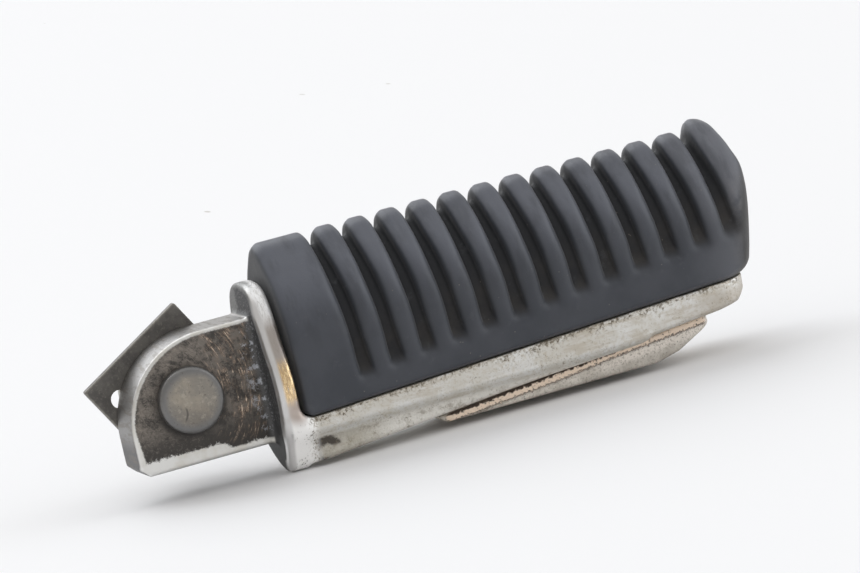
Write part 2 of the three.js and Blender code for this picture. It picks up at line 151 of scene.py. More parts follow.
PLATE_HALF = 13.4
PLATE_LONG = 13.8
PLATE_SHORT = 9.0
PLATE_NEAR = TONGUE_HALF + GAP
PLATE_THICKNESS = 1.8
PLATE_TURN = math.radians(30.4)
DETENT_RADIUS = 11.5
DETENT_HOLE_RADIUS = 1.95
PLATE_HOLE_ANGLE = math.radians(170.5)
BALL_ANGLE = math.radians(230)
BALL_RADIUS = 2.5
BALL_BORE_FLOOR = -4.0
BALL_X = DETENT_RADIUS * math.cos(BALL_ANGLE)
BALL_Z = DETENT_RADIUS * math.sin(BALL_ANGLE)

SPRING_WIRE = 0.3
SPRING_COIL = 1.9
SPRING_TURNS = 4
SPRING_FIRST = BALL_BORE_FLOOR + GAP + SPRING_WIRE
SPRING_LAST = TONGUE_HALF - 2 * BALL_RADIUS - GAP - SPRING_WIRE


def underside_at(x):
    """Height of the casting's sloping underside."""
    return -19.7 + (x - 20) * 0.09


def tread_edge_at(x):
    """Height of the rubber's lower edge."""
    return TREAD_EDGE_INNER + (x - TREAD_INNER) * 0.0465


# ---- Distance fields ----

def meet(a, b, radius=0.0):
    """What lies inside both fields, with the edge between them rounded."""
    if np.ndim(radius) == 0 and radius == 0:
        return np.maximum(a, b)
    corner = np.hypot(np.maximum(a + radius, 0), np.maximum(b + radius, 0))
    return np.minimum(np.maximum(a, b), -radius) + corner


def join(a, b, radius=0.0):
    """What lies inside either field, with a fillet between them."""
    return -meet(-a, -b, radius)


def carve(a, b, radius=0.0):
    """Field a with field b taken away, with the rim of the cut rounded."""
    return meet(a, -b, radius)


def slab(value, low, high):
    """The space between two values of one coordinate."""
    return abs(value - (low + high) / 2) - (high - low) / 2


def box(x, y, z, x_span, y_span, z_span, radius=0.0):
    """A box whose edges are rounded."""
    return meet(meet(slab(x, *x_span), slab(y, *y_span), radius), slab(z, *z_span), radius)


def outline(points, u, v):
    """Distance to a closed outline of points in the (u, v) plane."""
    u, v = np.broadcast_arrays(u, v)
    nearest = np.full(u.shape, np.inf)
    inside = np.zeros(u.shape, bool)
    for (a, b), (c, d) in zip(points, points[1:] + points[:1]):
        du, dv = c - a, d - b
        along = np.clip(((u - a) * du + (v - b) * dv) / (du * du + dv * dv), 0, 1)
        nearest = np.minimum(nearest, (u - a - along * du) ** 2 + (v - b - along * dv) ** 2)
        if dv:
            inside ^= ((b > v) != (d > v)) & (u < a + (v - b) * du / dv)
    return np.where(inside, -1.0, 1.0) * np.sqrt(nearest)


def strand(points, radius, x, y, z):
    """Round wire along a line of points."""
    nearest = np.inf
    for start, end in zip(points, points[1:]):
        start = np.array(start, float)
        step = np.subtract(end, start)
        offsets = (x - start[0], y - start[1], z - start[2])
        along = np.clip(sum(a * b for a, b in zip(offsets, step)) / (step @ step), 0, 1)
        square = sum((a - along * b) ** 2 for a, b in zip(offsets, step))
        nearest = np.minimum(nearest, square)
    return np.sqrt(nearest) - radius


def hexagon(u, v, across_flats):
    """A six-sided outline about the origin of (u, v)."""
    sides = [abs(u * math.cos(a) + v * math.sin(a)) for a in (0, math.pi / 3, 2 * math.pi / 3)]
    return np.maximum(np.maximum(sides[0], sides[1]), sides[2]) - across_flats / 2


def ease(value, low, high):
    """0 below low, 1 above high and a smooth rise between."""
    t = np.clip((value - low) / (high - low), 0, 1)
    return t * t * (3 - 2 * t)


def smooth_line(points, steps=6):
    """A Catmull-Rom curve through the points."""
    p = np.array([points[0], *points, points[-1]], float)
    curve = []
    for i in range(1, len(p) - 2):
        for t in np.arange(steps) / steps:
            curve.append(0.5 * (
                2 * p[i] + (p[i + 1] - p[i - 1]) * t
                + (2 * p[i - 1] - 5 * p[i] + 4 * p[i + 1] - p[i + 2]) * t ** 2
                + (3 * p[i] - p[i - 1] - 3 * p[i + 1] + p[i + 2]) * t ** 3
            ))
    return [tuple(q) for q in curve] + [tuple(p[-1])]


def mirrored(half_points):
    """A closed outline from its right half, given top to bottom."""
    right = smooth_line(half_points)
    return right + [(-y, z) for y, z in reversed(right[1:])]


def rounded_end(x, y, half, outer, corner):
    """A bar seen from above whose outer end has rounded corners."""
    return meet(x - outer, abs(y) - half, corner)


def with_screw_holes(field, x, y, rounding):
    """A field with the holes for both tread screws cut through it."""
    for place in SCREW_PLACES.values():
        field = carve(field, np.hypot(x - place, y) - SCREW_HOLE_RADIUS, rounding)
    return field


# ---- Meshing ----

def surface_net(field, low, high, pitch):
    """Points and outward-facing quads of a field's zero surface, from a grid of the given pitch."""
    axes = [np.arange(a - 2 * pitch, b + 3 * pitch, pitch) for a, b in zip(low, high)]
    x, y, z = np.meshgrid(*axes, indexing="ij", sparse=True)
    counts = [len(axis) for axis in axes]
    values = np.broadcast_to(field(x, y, z), counts).astype(np.float32)
    inside = values < 0

    cell_counts = [n - 1 for n in counts]
    corners = list(product((0, 1), repeat=3))
    filled = sum(
        inside[tuple(slice(c, c + n) for c, n in zip(corner, cell_counts))].astype(np.uint8)
        for corner in corners
    )
    mixed = (filled > 0) & (filled < 8)
    cells = np.argwhere(mixed)
    number = np.full(cell_counts, -1, np.int64)
    number[mixed] = np.arange(len(cells))

    total = np.zeros((len(cells), 3))
    hits = np.zeros(len(cells))
    for corner in corners:
        for axis in range(3):
            if corner[axis]:
                continue
            step = np.eye(3, dtype=int)[axis]
            start = values[tuple((cells + corner).T)]
            end = values[tuple((cells + corner + step).T)]
            crossing = (start < 0) != (end < 0)
            share = np.where(crossing, start / np.where(crossing, start - end, 1), 0)
            total += np.where(crossing[:, None], np.array(corner) + share[:, None] * step, 0)
            hits += crossing
    points = (cells + total / hits[:, None]) * pitch + [axis[0] for axis in axes]

    quads = []
    for axis in range(3):
        step, u, v = (np.eye(3, dtype=int)[(axis + k) % 3] for k in range(3))
        here = inside[tuple(slice(0, n - s) for n, s in zip(counts, step))]
        there = inside[tuple(slice(s, n) for n, s in zip(counts, step))]
        edges = np.argwhere(here != there)
        ring = [number[tuple((edges - offset).T)] for offset in (0 * u, u, u + v, v)]
        quad = np.stack(ring, 1)
        outward = here[tuple(edges.T)]
        quad[~outward] = quad[~outward][:, ::-1]
        quads.append(quad)
    return points, np.concatenate(quads)


def neighbour_mean(values, quads):
    """For each point, the mean of a value over the points joined to it."""
    start = np.concatenate([quads[:, i] for i in range(4)] * 2)
    end = np.concatenate([quads[:, i] for i in (1, 2, 3, 0)] + [quads[:, i] for i in (3, 0, 1, 2)])
    count = np.bincount(start, minlength=len(values))
    columns = [
        np.bincount(start, weights=column[end], minlength=len(values)) / count
        for column in np.atleast_2d(values.T)
    ]
    return np.stack(columns, 1) if values.ndim == 2 else columns[0]


def onto_surface(points, field, reach):
    """Moves points down the field's slope until they lie on its zero surface."""
    step = 0.02
    x, y, z = points.T
    value = field(x, y, z)
    slope = np.stack([
        field(x + step, y, z) - value,
        field(x, y + step, z) - value,
        field(x, y, z + step) - value,
    ], 1) / step
    steepness = np.maximum((slope ** 2).sum(1), 0.25)
    shift = np.clip(value / steepness, -reach, reach)
    return points - shift[:, None] * slope


def convexity(mesh, points, quads, pitch):
    """How sharply the surface bends outward at each point, per millimetre; hollows are negative."""
    normals = np.zeros(len(points) * 3, np.float32)
    mesh.vertex_normals.foreach_get("vector", normals)
    inward = points - neighbour_mean(points, quads)
    bend = 4 * (inward * normals.reshape(-1, 3)).sum(1) / pitch ** 2
    for _ in range(3):
        bend = neighbour_mean(bend, quads)
    return bend


def add_object(name, data):
    obj = bpy.data.objects.new(name, data)
    bpy.context.scene.collection.objects.link(obj)
    return obj


def piece(name, body, node, material, field, low, high, pitch, attributes=()):
    """Makes a piece from its field, stands it for its CAD node and lets it ride on its body.

    The field is sampled every pitch from low to high. Attributes are values that the material reads.
    """
    points, quads = surface_net(field, low, high, pitch)
    for _ in range(2):
        points = onto_surface((points + neighbour_mean(points, quads)) / 2, field, pitch / 2)
    mesh = bpy.data.meshes.new(name)
    mesh.from_pydata((points * MM).tolist(), [], quads.tolist())
    mesh.shade_smooth()
    layers = {"bend": convexity(mesh, points, quads, pitch)}
    for key, read in dict(attributes).items():
        layers[key] = read(*points.T)
    for key, values in layers.items():
        layer = mesh.attributes.new(key, "FLOAT", "POINT")
        layer.data.foreach_set("value", np.asarray(values, np.float32))
    mesh.materials.append(material)
    obj = add_object(name, mesh)
    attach(obj, body)
    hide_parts(node)
    return obj


# ---- Node trees ----

class Finish:
    """A material built up in layers. Places and lengths in it are millimetres in the part's frame."""

    def __init__(self, name, color, roughness, metallic):
        self.material = bpy.data.materials.new(name)
        self.material.use_nodes = True
        self.nodes = self.material.node_tree.nodes
        self.links = self.material.node_tree.links
        self.principled = self.nodes["Principled BSDF"]
        self.color = (*color, 1)
        self.roughness = roughness
        self.metallic = metallic
        self.height = 0.0
        self.place = self.vector("SCALE", self.node("TexCoord").outputs["Object"], scale=1 / MM)
        self.x, self.y, self.z = self.node("SeparateXYZ", Vector=self.place).outputs

    def put(self, value, socket):
        """Feeds a socket from another one or with a fixed value."""
        if isinstance(value, bpy.types.NodeSocket):
            self.links.new(value, socket)
        else:
            socket.default_value = value

    def node(self, kind, **inputs):
        """A new node. Its inputs are named, with _ for each space in a name."""
        node = self.nodes.new("ShaderNode" + kind)
        for key, value in inputs.items():
            self.put(value, node.inputs[key.replace("_", " ")])
        return node

    def vector(self, operation, a, b=None, scale=None):
        node = self.node("VectorMath")
        node.operation = operation
        self.put(a, node.inputs[0])
        if b is not None:
            self.put(b, node.inputs[1])
        if scale is not None:
            self.put(scale, node.inputs["Scale"])
        return node.outputs["Value" if operation == "DISTANCE" else "Vector"]

    def math(self, operation, a, b=0.0):
        node = self.node("Math")
        node.operation = operation
        self.put(a, node.inputs[0])
        self.put(b, node.inputs[1])
        return node.outputs[0]

    def add(self, a, b):
        return self.math("ADD", a, b)

    def less(self, a, b):
        return self.math("SUBTRACT", a, b)

    def times(self, a, *others):
        for b in others:
            a = self.math("MULTIPLY", a, b)
        return a

    def size(self, a):
        return self.math("ABSOLUTE", a)

    def most(self, a, b):
        return self.math("MAXIMUM", a, b)

    def step(self, value, low, high):
        """0 at low and 1 at high, with a smooth change between; low may be the larger."""
        node = self.node("MapRange", Value=value, From_Min=low, From_Max=high)
        node.interpolation_type = "SMOOTHSTEP"
        return node.outputs["Result"]

    def zone(self, *masks, share=1.0, **ramps):
        """Masks times ramps along x, y or z: (where 0, where 1), then perhaps such a pair for its far end."""
        for axis, ends in ramps.items():
            for i in range(0, len(ends), 2):
                masks = (*masks, self.step(getattr(self, axis), ends[i], ends[i + 1]))
        return self.times(*masks) if share == 1.0 else self.times(*masks, share)

    def attribute(self, name):
        node = self.node("Attribute")
        node.attribute_name = name
        return node.outputs["Fac"]

    def stretched(self, stretch, turn=(0, 0, 0)):
        return self.node("Mapping", Vector=self.place, Rotation=turn, Scale=stretch).outputs[0]

    def noise(self, scale, detail=3.0, roughness=0.55, place=None, distortion=0.0):
        """Noise from 0 to 1 with scale features a millimetre."""
        node = self.node(
            "TexNoise", Vector=place or self.place, Scale=scale, Detail=detail, Roughness=roughness,
            Distortion=distortion,
        )
        return node.outputs["Fac"]

    def cells(self, scale, place=None):
        """Distance to the nearest of many scattered points."""
        return self.node("TexVoronoi", Vector=place or self.place, Scale=scale).outputs["Distance"]

    def near(self, point, inner, outer):
        """1 within inner millimetres of a point and 0 past outer."""
        return self.step(self.vector("DISTANCE", self.place, point), outer, inner)

    def from_pin_axis(self):
        return self.math("SQRT", self.add(self.math("POWER", self.x, 2), self.math("POWER", self.z, 2)))

    def blend(self, share, below, above):
        """Covers a colour or a number with a fixed one, as far as the share goes."""
        node = self.node("Mix")
        is_color = isinstance(above, tuple)
        node.data_type = "RGBA" if is_color else "FLOAT"
        first, second, out = (6, 7, 2) if is_color else (2, 3, 0)
        self.put(share, node.inputs[0])
        self.put(below, node.inputs[first])
        self.put(above, node.inputs[second])
        return node.outputs[out]

    def coat(self, mask, color, roughness=None, metallic=None, height=0.0):
        """Lays a finish over what is there, as far as the mask goes. Height is in millimetres."""
        self.color = self.blend(mask, self.color, (*color, 1))
        if roughness is not None:
            self.roughness = self.blend(mask, self.roughness, roughness)
        if metallic is not None:
            self.metallic = self.blend(mask, self.metallic, metallic)
        if height:
            self.emboss(mask, height)

    def emboss(self, value, height):
        """Raises the surface by height millimetres where the value is 1."""
        self.height = self.add(self.height, self.times(value, height * MM))

    def done(self, **inputs):
        """Wires the layers up. Further inputs of the shader are given with _ for each space."""
        self.put(self.color, self.principled.inputs["Base Color"])
        self.put(self.roughness, self.principled.inputs["Roughness"])
        self.put(self.metallic, self.principled.inputs["Metallic"])
        for key, value in inputs.items():
            self.put(value, self.principled.inputs[key.replace("_", " ")])
        bump = self.node("Bump", Distance=1.0, Height=self.height)
        self.put(bump.outputs[0], self.principled.inputs["Normal"])
        return self.material


# ---- Materials ----

def film_on_rim(f, grain, below_rubber, on_rim):
    """A yellowish film and brown smears over the rim's dulled plating."""
    film = f.times(f.step(grain, 0.45, 0.75), on_rim)
    f.coat(f.times(film, 0.6), (0.52, 0.46, 0.35), 0.5)
    smears = f.step(f.noise(1.0, 5, 0.65, f.stretched((0.10, 0.6, 0.6))), 0.48, 0.66)
    f.coat(f.times(smears, on_rim, 0.7), (0.54, 0.49, 0.41), 0.45)
    outer = f.times(f.step(f.x, 100, 122), f.step(below_rubber, 0.8, 3.2), 0.6)
    f.coat(outer, (0.44, 0.39, 0.33), 0.5)


def rough_under_rim(f, grain, crumbs):
    """The narrower part under the rim: rough as cast, pale further out, with brown and black stains, and
    painted shade, broken up by grain, in the step beside the flange.
    """
    under_rim = f.times(f.step(f.z, -12.6, -13.4), f.step(f.x, 21.5, 23.5), f.step(f.size(f.y), 12.3, 11.6))
    f.coat(f.times(under_rim, 0.8), (0.52, 0.49, 0.42), 0.55, 0.8)
    f.coat(f.zone(under_rim, x=(31, 42), share=0.85), (0.84, 0.82, 0.77), 0.5, 0.3)
    f.emboss(f.times(under_rim, grain), 0.25)
    brown = f.times(under_rim, f.step(f.noise(0.5, 5, 0.7), 0.48, 0.68))
    f.coat(f.times(brown, 0.6), (0.26, 0.215, 0.155), 0.6, 0.5)
    # painted shade in the step where the gusset meets the flange, broken up by grain
    shade_beside_flange = f.zone(x=(21.4, 22.2, 23.6, 22.8), z=(-12.8, -13.8))
    f.coat(f.times(shade_beside_flange, f.step(grain, 0.40, 0.58), 0.7), (0.12, 0.105, 0.085), 0.65, 0.3)
    hook_centre = (24.9, -11.3, -17.5)
    hook_radius = 2.5
    hook = f.size(f.less(f.vector("DISTANCE", f.place, hook_centre), hook_radius))
    hook = f.step(f.add(hook, f.times(f.less(crumbs, 0.5), 3.0)), 1.5, 0.5)
    hook = f.times(hook, f.most(f.step(f.x, 25.8, 24.8), f.step(f.z, -16.9, -16.1)), under_rim)
    f.coat(f.times(hook, 0.95), (0.060, 0.050, 0.040), 0.7, 0.3)


def flange_band(f, flange_inset, low_band):
    """The flange's band: bright above and below, brownish in the middle with a brassy patch that carries
    painted highlight streaks.
    """
    upright_streaks = f.noise(1.0, 5, 0.7, f.stretched((2.2, 1, 0.36), (0, math.radians(-10), 0)), 0.6)
    band = f.times(f.step(f.x, 17.0, 17.8), f.step(f.x, 22.4, 21.2), f.step(flange_inset, 3.0, 1.0))
    f.coat(band, (0.80, 0.795, 0.785), 0.30, 0.65)
    f.coat(f.zone(band, z=(9, 13), share=0.9), (0.92, 0.92, 0.915), 0.34, 0.3)
    scuffed = f.zone(band, f.step(upright_streaks, 0.46, 0.64), z=(-6, 0))
    f.coat(f.times(scuffed, 0.6), (0.52, 0.505, 0.48), 0.35)
    f.coat(f.times(low_band, 0.9), (0.95, 0.94, 0.92), 0.45, 0.15)
    middle = f.zone(band, z=(14.5, 9.5, -6.5, -1.0))
    f.coat(f.times(middle, 0.85), (0.34, 0.295, 0.26), 0.34)
    brassy = f.times(band, f.near((19.8, -14.4, -1.2), 2.6, 6.4), f.step(upright_streaks, 0.30, 0.46))
    f.coat(brassy, (0.66, 0.47, 0.26), 0.24, 1.0)
    # painted highlight streaks over the brassy patch
    f.coat(f.times(brassy, f.step(upright_streaks, 0.48, 0.56)), (0.98, 0.76, 0.45), 0.2, 1.0)
    f.coat(f.times(band, f.near((20.0, -13.4, -7.4), 1.2, 4.0), 0.85), (0.45, 0.37, 0.32), 0.35)


def rust_pits(f, crumbs, below_rubber, on_rim, low_band):
    """Pits eaten through the plating, thickest just under the rubber."""
    near_rubber = f.step(below_rubber, 2.4, 0.2)
    scatter = f.step(f.noise(0.28, 3), 0.48, 0.66)
    rot = f.add(crumbs, f.add(f.times(near_rubber, on_rim, 0.115), f.times(scatter, 0.06)))
    rot = f.add(rot, f.times(low_band, 0.065))
    pits = f.zone(f.step(rot, 0.675, 0.72), x=(16.8, 18))
    f.coat(f.times(pits, 0.9), (0.06, 0.052, 0.04), 0.75, 0.1, -0.12)
    gritty = f.zone(f.step(rot, 0.57, 0.67), x=(20, 24))
    f.coat(f.times(gritty, 0.65), (0.30, 0.25, 0.18), 0.6, 0.6)


def tongue_edge(f, on_tongue):
    """The tongue's end and arc: satin grey, darker toward the bottom and streaked."""
    rolled = f.times(f.step(f.size(f.y), 5.9, 5.3), on_tongue)
    f.coat(rolled, (0.37, 0.36, 0.35), 0.36, 1.0)
    f.coat(f.zone(rolled, z=(7, -3), share=0.75), (0.23, 0.226, 0.222), 0.42)
    f.coat(f.zone(rolled, z=(-4, -9), share=0.85), (0.10, 0.099, 0.101), 0.48, 0.8)
    across = f.noise(1.0, 4, 0.65, f.stretched((0.9, 0.16, 0.9)))
    f.coat(f.times(rolled, f.step(across, 0.48, 0.62), 0.6), (0.20, 0.18, 0.155), 0.5)


def tongue_dirt(f, flat, crumbs, fine, ragged):
    """Greasy black dirt on the tongue's faces, peeled off along their lower edge. Returns its mask."""
    peeled_strip = f.zone(x=(9.0, 4.0), share=2.5)
    peeled_strip = f.add(peeled_strip, f.zone(x=(9.0, 10.5, 15.5, 14.0), share=1.1))
    height = f.less(f.add(f.z, ragged), peeled_strip)
    above_strip = f.step(height, TONGUE_BOTTOM + 0.35, TONGUE_BOTTOM + 0.65)
    worn_rim = f.zone(z=(-2, -11), share=0.7)
    tongue_inset = f.add(f.attribute("tongue_inset"), f.times(ragged, 0.25))
    dirt = f.times(flat, above_strip, f.step(f.less(tongue_inset, worn_rim), 0.55, 0.95))
    f.coat(dirt, (0.050, 0.045, 0.040), 0.60, 0.25)
    f.emboss(f.times(dirt, fine), 0.06)
    lighter = f.zone(dirt, f.step(f.noise(0.40, 6, 0.8), 0.40, 0.60), z=(-10.5, -3.5))
    f.coat(f.times(lighter, 0.8), (0.215, 0.19, 0.165), 0.5, 0.6)
    speckled = f.zone(dirt, f.step(crumbs, 0.52, 0.66), x=(7, -3))
    f.coat(f.times(speckled, 0.35), (0.34, 0.305, 0.27), 0.42, 0.8)
    return dirt


def bracket_scratches(f, dirt):
    """Arcs that the bracket has rubbed through the dirt, down to warm metal near the flange, and a painted
    shadow below the pin head.
    """
    centre_x = -7
    centre_z = 1
    flattened = f.vector("MULTIPLY", f.place, (1, 0, 1))
    outward = f.vector("DISTANCE", flattened, (centre_x, 0, centre_z))
    around = f.math("ARCTAN2", f.less(f.z, centre_z), f.add(f.x, -centre_x))
    rings = f.node("CombineXYZ", X=f.times(outward, 1.15), Y=f.times(around, 3.0)).outputs[0]
    arcs = f.noise(1.0, 7, 0.84, rings, 1.3)
    brushed = f.zone(dirt, f.step(arcs, 0.46, 0.64), x=(9, 4), z=(-9, -2))
    f.coat(f.times(brushed, 0.65), (0.33, 0.29, 0.25), 0.4, 0.85)
    scraped = f.zone(dirt, x=(3.5, 8.0, 16.0, 14.4), z=(-12.5, -8.0))
    scraped = f.times(scraped, f.step(f.noise(0.34, 5, 0.7), 0.42, 0.56))
    f.coat(f.times(scraped, f.step(arcs, 0.44, 0.60), 0.7), (0.20, 0.145, 0.11), 0.42, 0.7)
    f.coat(f.times(scraped, f.step(arcs, 0.53, 0.60), 0.9), (0.47, 0.35, 0.26), 0.36, 0.9)
    f.coat(f.times(scraped, f.step(arcs, 0.58, 0.64)), (0.80, 0.68, 0.55), 0.3, 1.0)
    # painted shadow of the pin head on the tongue below it
    shadow_below_head = f.zone(dirt, f.step(f.from_pin_axis(), 9.0, 7.2), z=(2, -4), share=0.85)
    f.coat(shadow_below_head, (0.028, 0.025, 0.023), 0.6, 0.2)


def dark_by_flange(f, flat, crumbs, ragged, flange_inset):
    """A dark band along the corner where the tongue meets the flange, chipped through, and dark grime on the
    flange's inner face.
    """
    corner = f.zone(x=(14.6, 15.8, 17.5, 17.1), z=(-13.2, -11.8, 13.2, 12.0))
    f.coat(f.times(corner, 0.95), (0.105, 0.104, 0.104), 0.5, 0.5)
    f.coat(f.times(corner, f.step(crumbs, 0.50, 0.60), 0.6), (0.040, 0.040, 0.042), 0.6, 0.2)
    beside = f.zone(flat, x=(12.2, 14.2), z=(-11.5, -10.0, 12.6, 11.4))
    chips = f.step(f.noise(0.62, 6, 0.8), 0.545, 0.585)
    chipped = f.zone(f.most(corner, beside), chips, x=(16.9, 16.3))
    f.coat(f.times(chipped, 0.8), (0.46, 0.475, 0.51), 0.4, 0.9)

    flange_face = f.zone(x=(17.35, 16.95, 15.8, 16.4))
    f.coat(f.times(flange_face, 0.9), (0.135, 0.135, 0.132), 0.6, 0.45)
    f.coat(f.times(flange_face, f.step(crumbs, 0.46, 0.60), 0.8), (0.11, 0.108, 0.104), 0.5, 0.6)
    f.coat(f.zone(flange_face, z=(-11, -13), share=0.9), (0.055, 0.054, 0.053), 0.62, 0.25)
    far_edge = f.zone(x=(19.6, 18.2, 15.8, 16.4), y=(-7, -2), z=(9, 11))
    f.coat(f.times(far_edge, 0.85), (0.21, 0.21, 0.205), 0.5, 0.6)
    f.coat(f.times(far_edge, f.step(crumbs, 0.50, 0.60), 0.8), (0.10, 0.098, 0.094), 0.5, 0.6)

    left_behind = f.times(flange_face, f.step(f.add(flange_inset, f.times(ragged, 0.5)), 0.7, 1.2))
    left_behind = f.times(left_behind, f.step(f.add(f.y, f.times(ragged, 1.6)), 3.0, 1.6))
    f.coat(left_behind, (0.055, 0.055, 0.056), 0.6, 0.2)
    speckles = f.zone(left_behind, f.step(crumbs, 0.52, 0.62), z=(-10.5, -8))
    f.coat(f.times(speckles, 0.6), (0.34, 0.34, 0.35), 0.5, 0.7)
    f.coat(f.zone(left_behind, z=(-10, -13), share=0.9), (0.060, 0.060, 0.060), 0.62, 0.25)


def bright_edges(f, ragged, flange_inset):
    """Corners rubbed bright, partly wear and partly a painted edge highlight; on the flange's near edge a
    painted highlight runs on over its face.
    """
    from_edge = f.add(flange_inset, f.times(ragged, 0.2))
    # painted highlight along the flange's near edge and over its face, on the near side only
    highlit_near_edge = f.zone(x=(16.2, 16.8, 18.4, 17.6), y=(-6.5, -9.0))
    highlit_near_edge = f.times(highlit_near_edge, f.step(from_edge, 3.0, 2.3))
    f.coat(highlit_near_edge, (0.66, 0.65, 0.64), 0.34, 0.8)
    # convex edges made bright: partly wear, partly a painted highlight
    patchy = f.most(f.step(f.noise(0.5, 5, 0.7), 0.44, 0.62), f.zone(z=(-4, -8), share=0.8))
    rubbed = f.zone(f.step(f.attribute("bend"), 0.6, 1.3), patchy, x=(17.6, 16.6))
    f.coat(f.times(rubbed, 0.75), (0.76, 0.755, 0.74), 0.26, 1.0)


def casting_finish():
    """Worn bright plating: pitted on the rim, greasy on the tongue, polished on the flange, with painted
    highlights on edges and in the brass, and painted shade below the pin head and beside the flange.
    """
    f = Finish("worn_casting", (0.74, 0.735, 0.71), 0.30, 1.0)
    flange_inset = f.attribute("flange_inset")
    below_rubber = f.attribute("below_rubber")
    cloud = f.noise(0.16, 4)
    grain = f.noise(1.3, 5, 0.65)
    fine = f.noise(5, 3, 0.6)
    crumbs = f.noise(1.9, 6, 0.78)
    ragged = f.times(f.less(f.noise(1.0, 7, 0.88), 0.5), 4.6)
    on_rim = f.step(f.x, 21, 25)
    on_tongue = f.step(f.x, 17.0, 16.2)
    flat = f.times(f.step(f.size(f.y), 5.3, 5.8), on_tongue)
    low_band = f.zone(x=(17.0, 17.8, 24.5, 22.5), z=(-7.5, -10.5))

    f.coat(f.step(cloud, 0.40, 0.62), (0.66, 0.64, 0.59), 0.40)
    film_on_rim(f, grain, below_rubber, on_rim)
    f.emboss(cloud, 0.10)
    f.emboss(grain, 0.05)
    rough_under_rim(f, grain, crumbs)
    flange_band(f, flange_inset, low_band)
    rust_pits(f, crumbs, below_rubber, on_rim, low_band)
    tongue_edge(f, on_tongue)
    dirt = tongue_dirt(f, flat, crumbs, fine, ragged)
    bracket_scratches(f, dirt)
    dark_by_flange(f, flat, crumbs, ragged, flange_inset)
    bright_edges(f, ragged, flange_inset)
    f.emboss(fine, 0.012)
    return f.done()


def rubber_finish():
    """Aged black moulded rubber, bluish, with a painted sheen on its upper part, painted light on its outer
    end, painted shade that makes the grooves near black, and dust low in them.
    """
    f = Finish("aged_rubber", (0.032, 0.0365, 0.047), 0.42, 0.0)
    depth = f.attribute("depth")
    cloud = f.noise(0.10, 3)
    grain = f.noise(2.2, 4, 0.6)
    f.coat(f.step(cloud, 0.35, 0.65), (0.044, 0.0485, 0.060), 0.46)
    # painted sheen: the upper part lighter and bluish, away from the grooves
    f.coat(f.times(f.step(f.z, 6, 20), f.step(depth, 1.2, 0.2), 0.65), (0.118, 0.126, 0.152), 0.44)
    # painted light on the outer end
    f.coat(f.times(f.step(f.x, 108, 128), f.step(depth, 1.2, 0.2), 0.6), (0.150, 0.155, 0.175), 0.46)
    # painted light on the outer end's lower corner, broken up by noise
    lit_outer_corner = f.times(f.step(f.x, 120, 127), f.step(f.z, 20, 9), f.step(f.noise(0.3, 5, 0.6), 0.2, 0.6))
    f.coat(f.times(lit_outer_corner, 0.6), (0.20, 0.193, 0.195), 0.6)
    streaks = f.noise(1.0, 4, 0.6, f.stretched((0.25, 0.08, 0.08)))
    shaded = f.zone(f.step(streaks, 0.46, 0.66), z=(0, 12))
    f.coat(f.times(shaded, 0.35), (0.020, 0.022, 0.028), 0.5)
    # painted shade: darker the deeper in a groove
    f.coat(f.times(f.step(depth, 0.5, 2.2), 0.85), (0.012, 0.0125, 0.0145), 0.75)
    low_in_groove = f.times(f.step(depth, 1.0, 2.4), f.step(f.less(f.z, f.times(f.x, 0.07)), 9, -2))
    dust = f.times(low_in_groove, f.step(f.noise(0.20, 4, 0.55), 0.25, 0.70))
    f.coat(f.times(dust, 0.7), (0.052, 0.047, 0.042), 0.85)
    scuffed = f.times(f.step(f.noise(0.28, 5, 0.7), 0.58, 0.72), 0.35)
    f.coat(scuffed, (0.080, 0.083, 0.092), 0.6)
    speck = f.times(f.step(f.cells(0.55), 0.075, 0.045), f.step(f.noise(0.3, 2), 0.5, 0.6))
    f.coat(f.times(speck, 0.6), (0.28, 0.25, 0.21), 0.8)
    f.emboss(grain, 0.035)
    f.emboss(cloud, 0.25)
    f.emboss(f.noise(6, 2), 0.006)
    return f.done(Specular_IOR_Level=0.5, Sheen_Weight=0.22, Sheen_Roughness=0.4)


def bar_finish():
    """Grey-beige plating that has flaked to its pale base along the upper edge, with painted shade toward the
    bottom and a painted shadow in the gap under the casting.
    """
    f = Finish("flaking_bar", (0.76, 0.715, 0.65), 0.46, 0.7)
    below_top = f.attribute("below_top")
    side = f.step(f.size(f.y), 9.2, 9.8)
    grain = f.noise(1.1, 5, 0.65)
    crumbs = f.noise(1.7, 6, 0.78)
    f.coat(f.step(f.noise(0.22, 4), 0.42, 0.62), (0.58, 0.54, 0.48), 0.52, 0.7)
    f.coat(f.times(f.step(f.x, 76, 100), f.step(below_top, 4.2, 2.6), 0.8), (0.86, 0.80, 0.73), 0.5, 0.4)
    f.coat(f.times(f.step(crumbs, 0.49, 0.63), 0.8), (0.33, 0.29, 0.235), 0.6, 0.6)
    # painted shade: darker toward the bar's bottom
    f.coat(f.times(f.step(below_top, 2.6, 4.6), 0.4), (0.36, 0.33, 0.29), 0.5)
    f.emboss(grain, 0.10)
    ragged = f.times(f.less(crumbs, 0.5), 3.4)
    ragged = f.add(ragged, f.zone(x=(92, 78), share=-0.35))
    flaked = f.step(f.add(below_top, ragged), 1.5, 1.25)
    f.coat(f.times(flaked, side), (0.91, 0.745, 0.60), 0.6, 0.1, -0.08)
    border = f.times(f.step(f.size(f.less(f.add(below_top, ragged), 1.5)), 0.24, 0.08), side)
    f.coat(f.times(border, 0.8), (0.10, 0.07, 0.05), 0.7, 0.1)
    # painted shadow in the gap between the bar's top and the casting's underside
    gap_shadow_reach = f.add(below_top, f.times(f.less(grain, 0.5), 2.6))
    gap_shadow = f.times(f.step(gap_shadow_reach, 0.75, 0.45), f.step(f.x, 108, 86), side)
    f.coat(gap_shadow, (0.050, 0.032, 0.022), 0.8, 0.0)
    pit = f.step(f.noise(1.5, 5, 0.75), 0.585, 0.65)
    f.coat(f.times(pit, 0.85), (0.075, 0.06, 0.048), 0.75, 0.1, -0.1)
    return f.done()


